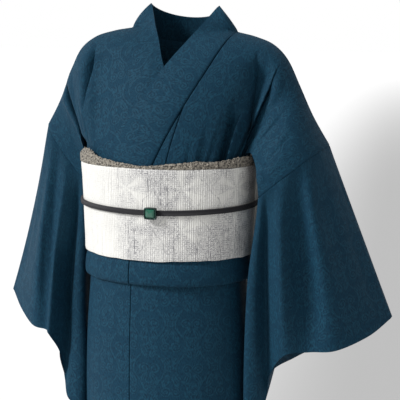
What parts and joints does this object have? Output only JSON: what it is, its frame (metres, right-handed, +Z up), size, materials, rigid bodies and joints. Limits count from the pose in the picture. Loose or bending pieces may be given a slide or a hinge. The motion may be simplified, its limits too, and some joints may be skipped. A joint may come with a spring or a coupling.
{
  "type": "kimono",
  "caption": "Woman's kimono as worn: wide sleeves, crossed collar, waist fold and long straight skirt, with a broad sash, sash scarf, cord, clasp and drum knot.",
  "frame": {"origin": "on the wearer's axis, level with the points where the collar meets the shoulders", "axes": "+Z up along the wearer's axis, -Y forwards as the wearer faces, +X to the wearer's left"},
  "size_m": [0.7014, 0.3165, 1.3626],
  "materials": {
    "silk": "dark teal-blue silk with a tone-on-tone woven scroll pattern",
    "sash_cloth": "ivory sash cloth with fine dark uneven upright threads",
    "scarf_cloth": "soft taupe-grey crepe",
    "braid": "dark charcoal flat silk braid",
    "dark_metal": "dark polished setting",
    "green_stone": "polished green stone"
  },
  "bodies": {
    "root": {"bodice_left": "silk", "bodice_right": "silk", "gusset_left": "silk", "collar": "silk", "sleeve_left": "silk", "sleeve_right": "silk", "skirt_gusset_left": "silk", "skirt_front_left": "silk", "skirt_back_left": "silk", "skirt_back_right": "silk", "skirt_front_right": "silk", "waist_fold_gusset": "silk", "waist_fold_left": "silk", "waist_fold_right": "silk", "sash": "sash_cloth", "sash_drum": "sash_cloth", "sash_tail": "sash_cloth", "sash_hand": "sash_cloth", "scarf": "scarf_cloth", "cord": "braid", "clasp_frame": "dark_metal", "clasp_stone": "green_stone"}
  },
  "joints": []
}
